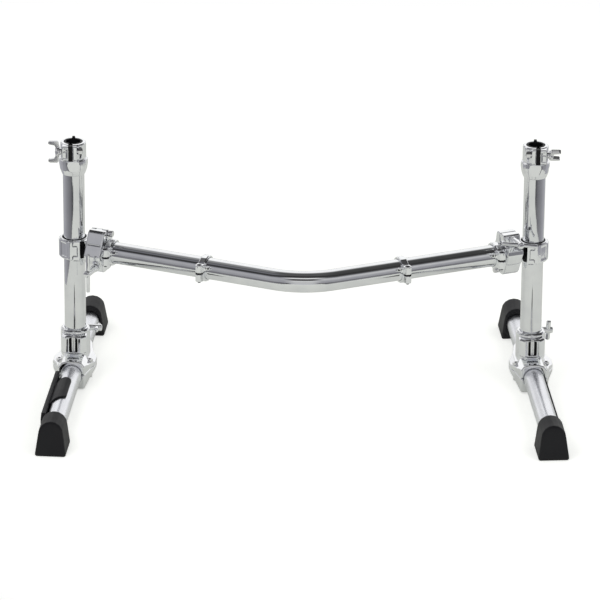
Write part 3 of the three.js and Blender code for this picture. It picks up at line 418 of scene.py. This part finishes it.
def melted(mesh, voxel, rounds, keep):
    """Overlapping shells run together into one skin with soft edges, as a casting has."""
    work = linked("work", mesh)
    remesh = work.modifiers.new("remesh", "REMESH")
    remesh.mode = "VOXEL"
    remesh.voxel_size = voxel
    smooth = work.modifiers.new("smooth", "SMOOTH")
    smooth.factor = 0.5
    smooth.iterations = rounds
    fewer = work.modifiers.new("fewer", "DECIMATE")
    fewer.ratio = keep
    skin = evaluated(work)
    bpy.data.objects.remove(work)
    return skin


def casting(cad_node, place, voxel=0.9, rounds=8, keep=0.35):
    """The CAD node's shape with the soft edges of a casting, in millimetres, in the frame of its place."""
    source = moved(nodes[cad_node].data, place.inverted() @ Matrix.Scale(1 / MM, 4))
    return melted(source, voxel, rounds, keep)


def carved(mesh, tool):
    """The mesh with the tool's shape cut out."""
    work, knife = linked("work", mesh), linked("knife", tool)
    cut = work.modifiers.new("cut", "BOOLEAN")
    cut.operation = "DIFFERENCE"
    cut.object = knife
    rest = evaluated(work)
    for obj in (work, knife):
        bpy.data.objects.remove(obj)
    return rest


def plate(points, low, high, along="Z"):
    """Flat outline with straight sides. Along Y the outline is (x, z), and low to high runs towards -Y."""
    count = len(points)
    verts = [Vector((x, y, z)) for z in (low, high) for x, y in points]
    faces = [tuple(reversed(range(count))), tuple(range(count, 2 * count))]
    faces += [(k, (k + 1) % count, count + (k + 1) % count, count + k) for k in range(count)]
    mesh = mesh_from(verts, faces)
    if along == "Y":
        mesh.transform(turn(math.pi / 2, "X"))
    return mesh


def oblong(x0, x1, y0, y1):
    return [(x0, y0), (x1, y0), (x1, y1), (x0, y1)]


def rod(r, low, high, along="Z"):
    """Plain round tool for cutting holes."""
    return lathe([(0, low), (r, low), (r, high), (0, high)], 32, along)


# ---------------------------------------------------------------- tubes
def straight(start, end, direction):
    """Path between two points, with a ring of the wall 1 mm inside each end."""
    return [(point, direction) for point in (start, start + direction, end - direction, end)]


def bar_path(steps=36):
    """Path of the cross bar: straight arms that run on from an arc in the middle."""
    left = Vector((math.cos(BAR_ANGLE), -math.sin(BAR_ANGLE), 0))
    right = Vector((left.x, -left.y, 0))
    start = Vector((-POST_X, POST_Y, BAR_Z)) + left * (BLOCK_START + TUBE_GAP)
    end = Vector((-start.x, start.y, BAR_Z))
    corner_y = POST_Y - POST_X * math.tan(BAR_ANGLE)
    centre_y = corner_y + BEND_R / math.cos(BAR_ANGLE)
    arc = []
    for i in range(steps + 1):
        a = -BAR_ANGLE + 2 * BAR_ANGLE * i / steps
        at = Vector((BEND_R * math.sin(a), centre_y - BEND_R * math.cos(a), BAR_Z))
        arc.append((at, Vector((math.cos(a), math.sin(a), 0))))
    return [(start, left), (start + left, left), *arc, (end - right, right), (end, right)]


post_path = straight(
    start=Vector((0, 0, SOCKET_FLOOR + TUBE_GAP)),
    end=Vector((0, 0, LEDGE_Z - TUBE_GAP)),
    direction=Vector((0, 0, 1)))
leg_path = straight(
    start=Vector((0, -FRONT_REACH + FOOT_WALL, LEG_Z)),
    end=Vector((0, REAR_REACH - FOOT_WALL, LEG_Z)),
    direction=Vector((0, 1, 0)))
post_tube = swept_tube(post_path, POST_R, POST_WALL)
leg_tube = swept_tube(leg_path, LEG_R, LEG_WALL, sides=96)
finished("cross_bar_tube", swept_tube(bar_path(), BAR_R, BAR_WALL), "chrome", "cross_bar")
for side in SIDES:
    finished(f"{side}_post_tube", post_tube, "chrome", f"{side}_post", stand_at(side))
    finished(f"{side}_leg", leg_tube, "satin_chrome", f"{side}_leg_tube", base_at(side))

# ---------------------------------------------------------------- castings, each shaped once
lock_place = lock_at("left", LOCK_STATIONS["end"])
shapes = {
    "base_casting": casting("right_base_casting", base_at("right"), voxel=0.8, rounds=7),
    "base_saddle": casting("right_base_saddle", base_at("right"), voxel=1.0),
    "clamp_body": casting("left_clamp_body", clamp_at("left"), voxel=0.8, keep=0.6),
    "clamp_liner": casting("left_clamp_liner", clamp_at("left"), voxel=0.6, rounds=3),
    "post_jaw": casting("left_post_jaw", clamp_at("left"), voxel=0.7, rounds=7),
    "bar_jaw": casting("left_bar_jaw", arm_at("left"), voxel=0.7, rounds=10, keep=1.0),
    "collar": casting("right_collar", stand_at("right"), voxel=0.6, rounds=6),
    "collar_bush": casting("right_collar_bush", stand_at("right"), voxel=0.6, rounds=3),
    # Black plate in the collar's slot round the wing screw: painted shade inside the slot
    "bush_slot_shade": carved(
        plate(oblong(0.3, 7.2, -25.0, -16.5), low=420.6, high=448.6),
        moved(rod(3.7, low=-2, high=10, along="X"), shift(0, WING_Y, WING_Z))),
    # Black plate across the base's window round the pin: painted shade inside the window
    "window_shade_plate": carved(
        plate(oblong(-6.2, 6.2, -28.4, -26.9), low=63.2, high=89.8),
        moved(rod(4.2, low=60, high=95), shift(0, WINDOW_PIN_Y, 0))),
    "lock_body": casting("left_end_lock_body", lock_place, voxel=0.5, rounds=5),
    "lock_strap": casting("left_end_lock_strap", lock_place, voxel=0.5, rounds=5),
    "foot": casting("left_front_foot", base_at("left"), voxel=1.1),
    "left_guard": casting("left_leg_guard", base_at("left"), voxel=0.9, rounds=4),
    "right_strip": casting("right_leg_strip", base_at("right"), voxel=0.8, rounds=3),
}
# Piece, shape, finish, CAD node that it stands for, place, and the crease of pieces with flat faces
STAND_PARTS = [
    ("base_casting_cast", "base_casting", "cast_chrome", "base_casting", saddle_at, None),
    ("base_saddle_cast", "base_saddle", "cast_chrome", "base_saddle", saddle_at, None),
    ("clamp_body_cast", "clamp_body", "cast_chrome", "clamp_body", clamp_at, None),
    ("post_jaw_cast", "post_jaw", "cast_chrome", "post_jaw", clamp_at, None),
    ("bar_jaw_cast", "bar_jaw", "cast_chrome", "bar_jaw", arm_at, None),
    # Black nylon liner of the clamp; where it fills the gap between band and jaw it is painted shade
    ("clamp_sleeve_and_gap_shade", "clamp_liner", "black_nylon", "clamp_liner", clamp_at, None),
    ("collar_cast", "collar", "cast_chrome", "collar", collar_at, None),
    ("bush", "collar_bush", "black_nylon", "collar_bush", collar_at, None),
    # Black plate in the collar's slot: painted shade
    ("bush_slot_shade", "bush_slot_shade", "black_nylon", "collar_bush", collar_at, CREASE),
    # Black plate in the base's window: painted shade
    ("window_shade_plate", "window_shade_plate", "black_nylon", "base_casting", saddle_at, CREASE),
]
for side in SIDES:
    for piece, shape, finish, cad_name, place, crease in STAND_PARTS:
        finished(f"{side}_{piece}", shapes[shape], finish, f"{side}_{cad_name}", place(side), crease)
    for name, station in LOCK_STATIONS.items():
        for part in ("lock_body", "lock_strap"):
            cad_name = f"{side}_{name}_{part}"
            finished(f"{cad_name}_cast", shapes[part], "cast_chrome", cad_name, lock_at(side, station))
    for end, place in (("front", base_at), ("rear", rear_foot_at)):
        finished(f"{side}_{end}_boot", shapes["foot"], "black_rubber", f"{side}_{end}_foot", place(side))
finished("left_guard", shapes["left_guard"], "black_rubber", "left_leg_guard", base_at("left"))
finished("right_strip", shapes["right_strip"], "black_rubber", "right_leg_strip", base_at("right"))


# ---------------------------------------------------------------- screws, pins and nuts, turned smooth
def turned(profile, along="Z", radius=0.6, sides=48):
    """Solid turned piece with rounded rims, from its profile without the end centres."""
    closed = [(0, profile[0][1]), *profile, (0, profile[-1][1])]
    return lathe(rounded(closed, radius), sides, along)


KEY_BELOW_SEAT, KEY_ABOVE_HEAD = 3, 5  # how far the tool that cuts the hexagon socket reaches
WAIST_STEP, WAIST_LENGTH = 0.7, 3.5  # the ring of a T-screw's handle next to the shaft


def socket_screw(seat, head_r, head_high, shaft_r, tip, key_r):
    """Cap screw along Z with a hexagon socket. The seat is the underside of its head."""
    body = turned([(shaft_r, tip), (shaft_r, seat), (head_r, seat), (head_r, seat + head_high)])
    key = plate(circle(key_r, 6), seat - KEY_BELOW_SEAT, seat + head_high + KEY_ABOVE_HEAD)
    return carved(body, key)


def t_screw(shaft_r, tail, start, hub_r, reach, cross_r, cross_length, inset):
    """T-screw along -Y: shaft, a thicker handle with a rounded end and the rod across it."""
    body = turned([(hub_r, -reach), (hub_r, -start), (shaft_r, -start), (shaft_r, tail)], "Y", radius=3.0)
    waist_r = hub_r + WAIST_STEP
    waist = turned([(waist_r, -start - WAIST_LENGTH), (waist_r, -start)], "Y", radius=0.9)
    half = cross_length / 2
    cross = turned([(cross_r, -half), (cross_r, half)], "X", radius=cross_r * 0.8)
    return joined(body, waist, moved(cross, shift(0, inset - reach, 0)))


WING_START, WING_LENGTH, WING_HALF_SPAN, WING_THICK = 22.63, 20.0, 20.0, 6.6
# Outline of the upper wing, as shares of its length and half span
WING_SHARES = [
    (0.02, 0), (0.02, 0.42), (0.08, 0.64), (0.1, 0.9), (0.2, 1), (0.86, 1), (1, 0.9), (1, 0.78),
    (0.9, 0.68), (0.46, 0.6), (0.36, 0.42), (0.42, 0),
]
WING_BODY = [(3.2, -12.6), (3.2, 19.3), (6.0, 19.3), (6.0, 22.8), (8.6, 23.0), (8.6, 26.6), (5.0, 30.3)]


def wing_screw():
    """Wing screw along X: threaded end, hub with a boss and two wings like a fork, cast in one."""
    outline = [(WING_START + WING_LENGTH * x, WING_HALF_SPAN * z) for x, z in WING_SHARES]
    upper = plate(outline, -WING_THICK / 2, WING_THICK / 2, "Y")
    lower = moved(upper, Matrix.Scale(-1, 4, (0, 0, 1)))
    return melted(joined(turned(WING_BODY, "X", radius=0.8), upper, lower), voxel=0.4, rounds=5, keep=0.4)


def nut(corner_r, low, high, bore_r):
    """Hexagon nut along X."""
    mesh = plate(circle(corner_r, 6), low, high)
    mesh.transform(turn(math.pi / 2, "Y"))
    return carved(mesh, rod(bore_r, low - 1, high + 1, "X"))


fasteners = {
    "wing_screw": wing_screw(),
    "collar_nut": nut(corner_r=6.0, low=-17.3, high=-10.3, bore_r=3.5),
    "base_pin": turned([(4.0, 59.8), (4.0, 93.0)], radius=0.8),
    "saddle_bolt": socket_screw(seat=38.3, head_r=5.5, head_high=5.5, shaft_r=3.5, tip=9.0, key_r=2.94),
    # Black disc down in the hexagon socket of the saddle bolt: painted shade of the socket
    "saddle_bolt_plug": plate(circle(2.86, 6), 38.5, 42.5),
    "base_t_screw": t_screw(
        shaft_r=3.8, tail=14.5, start=13.3, hub_r=6.0, reach=44.0,
        cross_r=4.25, cross_length=42.0, inset=8.5),
    "post_jaw_pin": turned([(2.5, -18.5), (2.5, 18.5)], radius=0.5),
    "post_jaw_screw": socket_screw(
        seat=0.0, head_r=6.0, head_high=6.0, shaft_r=3.5, tip=-19.3, key_r=2.94),
    "bar_jaw_pin": turned([(3.0, 31.0), (3.0, 63.3), (6.0, 63.3), (6.0, 72.3)], "X", radius=1.4),
    "bar_t_screw": t_screw(
        shaft_r=4.2, tail=22.0, start=14.0, hub_r=6.0, reach=50.0,
        cross_r=3.5, cross_length=71.0, inset=8.0),
    "lock_screw": socket_screw(seat=10.0, head_r=4.3, head_high=5.0, shaft_r=2.75, tip=-18.0, key_r=2.3),
}
for side in SIDES:
    wing = stand_at(side) @ shift(0, WING_Y, WING_Z)
    wing @= turn(math.radians(WING_TURNS[side]), "X") @ flip(side)
    base_handle = base_at(side) @ shift(0, BASE_T_Y, BASE_T_Z) @ turn(math.pi / 2, "Z")
    base_handle @= turn(math.radians(BASE_TURNS[side]), "Y")
    bar_handle = arm_at(side) @ shift(T_X, 0, -T_DROP) @ turn(math.radians(BAR_TURNS[side]), "Y")
    pinch = clamp_at(side) @ shift(PINCH_X, PINCH_Y, 0) @ turn(-math.pi / 2, "Y")
    bolts = {
        end: base_at(side) @ shift(sign * SIDES[side] * BOLT_X, BOLT_Y, 0)
        for end, sign in (("outer", 1), ("inner", -1))
    }
    placed = [
        ("wing_screw", "wing_screw", wing, "bright_steel"),
        ("collar_nut", "collar_nut", collar_at(side) @ shift(0, WING_Y, WING_Z), "bright_steel"),
        ("base_pin", "base_pin", base_at(side) @ shift(0, WINDOW_PIN_Y, 0), "bright_steel"),
        *(("saddle_bolt", f"saddle_bolt_{end}", place, "bright_steel") for end, place in bolts.items()),
        ("base_t_screw", "base_t_screw", base_handle, "cast_chrome"),
        ("post_jaw_pin", "post_jaw_pin", clamp_at(side) @ shift(POST_PIN_X, POST_PIN_Y, 0), "bright_steel"),
        ("post_jaw_screw", "post_jaw_screw", pinch, "bright_steel"),
        ("bar_jaw_pin", "bar_jaw_pin", arm_at(side) @ shift(0, BAR_PIN_Y, BAR_PIN_Z), "bright_steel"),
        ("bar_t_screw", "bar_t_screw", bar_handle, "cast_chrome"),
    ]
    for name, station in LOCK_STATIONS.items():
        on_lock = lock_at(side, station) @ shift(0, LOCK_SCREW_Y, 0)
        placed.append(("lock_screw", f"{name}_lock_screw", on_lock, "dark_steel"))
    for shape, cad_name, place, finish in placed:
        finished(f"{side}_{cad_name}_smooth", fasteners[shape], finish, f"{side}_{cad_name}", place, CREASE)
    # Black discs in the saddle bolts' sockets: painted shade
    for end, place in bolts.items():
        bolt = f"{side}_saddle_bolt_{end}"
        finished(f"{bolt}_plug", fasteners["saddle_bolt_plug"], "black_nylon", bolt, place, CREASE)

# ---------------------------------------------------------------- small parts of the memory locks, with black pieces of painted shade in their holes and gaps
# The tab carries two holes whose dark inside is painted shade: black pins that stand out by 0.2 mm
TAB_START, TAB_END, TAB_Z, TAB_R, TAB_BACK, TAB_FRONT = 6.4, 14.6, 8.5, 3.6, 19.4, 22.7
PIN_STATIONS, PIN_R, PIN_FRONT, PIN_BACK = (10.2, 15.0), 1.85, TAB_FRONT + 0.2, 20.0
round_end = [
    (TAB_END + TAB_R * math.sin(math.pi * k / 8), TAB_Z - TAB_R * math.cos(math.pi * k / 8))
    for k in range(9)
]
tab_outline = [(TAB_START, TAB_Z - TAB_R), *round_end, (TAB_START, TAB_Z + TAB_R)]
pin = turned([(PIN_R, -PIN_FRONT), (PIN_R, -PIN_BACK)], "Y", radius=0.1, sides=24)
on_screw = shift(0, LOCK_SCREW_Y, 0)
lock_parts = {
    "tab": (
        melted(plate(tab_outline, TAB_BACK, TAB_FRONT, "Y"), voxel=0.4, rounds=3, keep=0.5), "cast_chrome"),
    # Black pins in the tab's holes: painted shade of the holes
    "tab_pins": (joined(*(moved(pin, shift(x, 0, TAB_Z)) for x in PIN_STATIONS)), "black_nylon"),
    # Black disc in the lock screw's hexagon socket: painted shade of the socket
    "screw_plug": (moved(plate(circle(2.15, 6), 10.5, 14.2), on_screw), "black_nylon"),
    # Black ring between the lock's lugs round the screw: painted shade in the gap between them
    "washer": (moved(lathe([(3.2, -1.3), (6.6, -1.3), (6.6, 1.3), (3.2, 1.3)]), on_screw), "black_nylon"),
}
for side in SIDES:
    for name, station in LOCK_STATIONS.items():
        lock = f"{side}_{name}_lock"
        for part, (mesh, finish) in lock_parts.items():
            finished(f"{lock}_{part}", mesh, finish, f"{lock}_body", lock_at(side, station), CREASE)

# ---------------------------------------------------------------- camera, as fitted to the photograph
DISTANCE, PITCH, AIM_Z = 7991.2, math.radians(21.5), 200.0
FRAME_PX, FOCAL_PX, DOWN_PX, LEFT_PX, ROLL = 600, 4500, 24.7, 3.5, math.radians(0.43)
camera_data = bpy.data.cameras.new("camera")
camera_data.sensor_width = 36.0
camera_data.lens = camera_data.sensor_width * FOCAL_PX / FRAME_PX
camera_data.clip_end = 100.0
camera = linked("camera", camera_data)
camera_place = Vector((0, POST_Y - DISTANCE * math.cos(PITCH), AIM_Z + DISTANCE * math.sin(PITCH))) * MM
camera.matrix_world = (
    Matrix.Translation(camera_place)
    @ turn(math.atan(LEFT_PX / FOCAL_PX), "Z")
    @ turn(math.pi / 2 - PITCH - math.atan(DOWN_PX / FOCAL_PX), "X")
    @ turn(ROLL, "Z")
)
scene.camera = camera
scene.view_settings.view_transform = "Standard"


# ---------------------------------------------------------------- floor, world and lamps
def mixed(tree, factor, a, b):
    """Mix of two shaders."""
    mix = node(tree, "ShaderNodeMixShader")
    for socket, value in enumerate((factor, a, b)):
        tree.links.new(value, mix.inputs[socket])
    return mix.outputs[0]


def floor_material():
    """Pale floor, close to white to the camera, which still takes the object's shadow."""
    mat = bpy.data.materials.new("floor")
    mat.use_nodes = True
    tree = mat.node_tree
    tree.nodes.clear()
    matte = node(tree, "ShaderNodeBsdfDiffuse", Color=(0.80, 0.81, 0.76, 1))
    glow = node(tree, "ShaderNodeEmission", Color=(1, 1, 1, 1), Strength=0.5)
    bright = node(tree, "ShaderNodeAddShader")
    tree.links.new(matte.outputs[0], bright.inputs[0])
    tree.links.new(glow.outputs[0], bright.inputs[1])
    to_camera = node(tree, "ShaderNodeLightPath").outputs["Is Camera Ray"]
    seen = mixed(tree, to_camera, matte.outputs[0], bright.outputs[0])
    tree.links.new(seen, node(tree, "ShaderNodeOutputMaterial").inputs["Surface"])
    return mat


# Outline of the pale sheet, in metres. Beyond it, gloss sees the darker surround, which draws the grey
# wedges in the posts.
SHEET = [
    (0.80, -1.9), (0.72, -1.3), (0.53, -1.2), (0.52, -1.0), (0.505, -0.9), (0.634, -0.82), (0.776, -0.72),
    (0.84, -0.634), (1.0, -0.42), (1.06, -0.27), (1.08, -0.1), (1.06, 0.1), (1.0, 0.35), (0.96, 0.6),
    (1.05, 2.2), (-0.9, 2.2), (-0.78, 0.6), (-0.74, 0.42), (-0.84, 0.24), (-0.905, 0.02), (-0.92, -0.1),
    (-0.905, -0.22), (-0.88, -0.32), (-0.67, -0.7), (-0.6, -0.764), (-0.5, -0.826), (-0.447, -0.88),
    (-0.437, -0.972), (-0.65, -0.985), (-0.66, -1.07), (-0.50, -1.075), (-0.50, -1.9),
]
floor_mesh = bpy.data.meshes.new("floor")
floor_mesh.from_pydata([(x, y, 0) for x, y in SHEET], [], [tuple(range(len(SHEET)))])
floor_mesh.materials.append(floor_material())
floor = linked("floor", floor_mesh)
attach(floor, "left_post_body")  # the stands stay on the floor while the bar goes up or down

# Brightness of the room by the angle over the top, in degrees: straight ahead, and to the two sides
CENTRE_BANDS = [
    (0, 0.55), (16, 0.50), (24, 0.74), (30, 0.30), (36, 0.03), (46, 0.03), (51, 0.85), (57, 0.85),
    (62, 0.08), (74, 0.02), (86, 0.09), (112, 0.09), (120, 0.30), (130, 1.0), (180, 1.0),
]
LEFT_BANDS = [
    (0, 0.31), (23, 0.35), (34, 0.40), (52, 0.36), (58, 0.14), (64, 0.05), (75, 0.03), (84, 0.17),
    (98, 0.10), (106, 0.40), (124, 0.90), (134, 0.60), (148, 0.35), (160, 0.55), (172, 1.0),
]
RIGHT_BANDS = [
    (0, 0.36), (10, 0.31), (20, 0.37), (30, 0.46), (42, 0.57), (52, 0.32), (58, 0.09), (72, 0.025),
    (84, 0.055), (110, 0.04), (124, 0.075), (133, 0.20), (141, 0.40), (150, 0.80), (165, 1.0),
]
# Brightness of the surround beyond the sheet, from in front (0) to behind (1)
SURROUND = [
    (0.0, 0.52), (0.018, 0.42), (0.034, 0.09), (0.045, 0.09), (0.07, 0.13), (0.115, 0.175), (0.25, 0.22),
    (0.45, 0.28), (0.72, 0.38), (1.0, 0.45),
]
MIX_A, MIX_B, MIX_RESULT = 6, 7, 2  # the colour sockets of a Mix node


def worked(tree, operation, first, second):
    """Math node. The second value is a number or a link."""
    n = node(tree, "ShaderNodeMath", operation=operation)
    tree.links.new(first, n.inputs[0])
    if isinstance(second, float):
        n.inputs[1].default_value = second
    else:
        tree.links.new(second, n.inputs[1])
    return n.outputs[0]


def blended(tree, factor, a, b):
    """Mix of two colours."""
    mix = node(tree, "ShaderNodeMix", data_type="RGBA")
    tree.links.new(factor, mix.inputs["Factor"])
    tree.links.new(a, mix.inputs[MIX_A])
    tree.links.new(b, mix.inputs[MIX_B])
    return mix.outputs[MIX_RESULT]


def banded(tree, share, bands, blue):
    """Ramp over the half turn. Its middle greys take a touch of blue."""
    stops = [(degrees / 180, (v, v, v + (blue if 0.1 < v < 0.5 else 0))) for degrees, v in bands]
    return ramp(tree, share, stops)


def studio_world():
    """White to the camera. Gloss sees bands overhead, grey sides, and the surround below."""
    world = bpy.data.worlds.new("studio")
    scene.world = world
    world.use_nodes = True
    tree = world.node_tree
    tree.nodes.clear()
    axes = node(tree, "ShaderNodeSeparateXYZ")
    tree.links.new(node(tree, "ShaderNodeTexCoord").outputs["Generated"], axes.inputs[0])
    across, along, up = (axes.outputs[key] for key in "XYZ")
    # Angle over the top as a share of a half turn: 0 in front, 0.5 overhead, 1 behind
    over = worked(tree, "ARCTAN2", up, worked(tree, "MULTIPLY", along, -1.0))
    share = worked(tree, "DIVIDE", over, math.pi)
    middle, left, right = (
        banded(tree, share, bands, blue)
        for bands, blue in ((CENTRE_BANDS, 0.0), (LEFT_BANDS, 0.02), (RIGHT_BANDS, 0.02))
    )
    upper = blended(tree, spread(tree, across, 0.2, 0.42, 0.0, 1.0), middle, right)
    upper = blended(tree, spread(tree, across, -0.2, -0.42, 0.0, 1.0), upper, left)
    depth = spread(tree, along, -1, 1, 0.0, 1.0)
    lower = ramp(tree, depth, [(at, (v, v, v * 1.07)) for at, v in SURROUND])
    room = blended(tree, worked(tree, "LESS_THAN", up, 0.0), upper, lower)
    gloss = node(tree, "ShaderNodeBackground", Strength=1.0)
    tree.links.new(room, gloss.inputs["Color"])
    fill = node(tree, "ShaderNodeBackground", Color=(0.98, 0.985, 1, 1), Strength=0.62)
    white = node(tree, "ShaderNodeBackground", Color=(1, 1, 1, 1), Strength=1.0)
    path = node(tree, "ShaderNodeLightPath")
    lit = mixed(tree, path.outputs["Is Glossy Ray"], fill.outputs[0], gloss.outputs[0])
    seen = mixed(tree, path.outputs["Is Camera Ray"], lit, white.outputs[0])
    tree.links.new(seen, node(tree, "ShaderNodeOutputWorld").inputs["Surface"])


def soft_lamp(name, at, aim, width, depth, watts):
    """Rectangular lamp that gloss doesn't see."""
    data = bpy.data.lights.new(name, "AREA")
    data.shape = "RECTANGLE"
    data.size, data.size_y, data.energy = width, depth, watts
    lamp = linked(name, data)
    direction = Vector(aim) - Vector(at)
    lamp.visible_glossy = False
    lamp.matrix_world = Matrix.Translation(at) @ direction.to_track_quat("-Z", "Y").to_matrix().to_4x4()


studio_world()
soft_lamp("key", at=(-1.4, -1.6, 2.6), aim=(0, 0, 0.2), width=1.4, depth=1.0, watts=16)
soft_lamp("fill", at=(1.8, -1.0, 2.2), aim=(0, 0, 0.2), width=1.0, depth=1.0, watts=8)
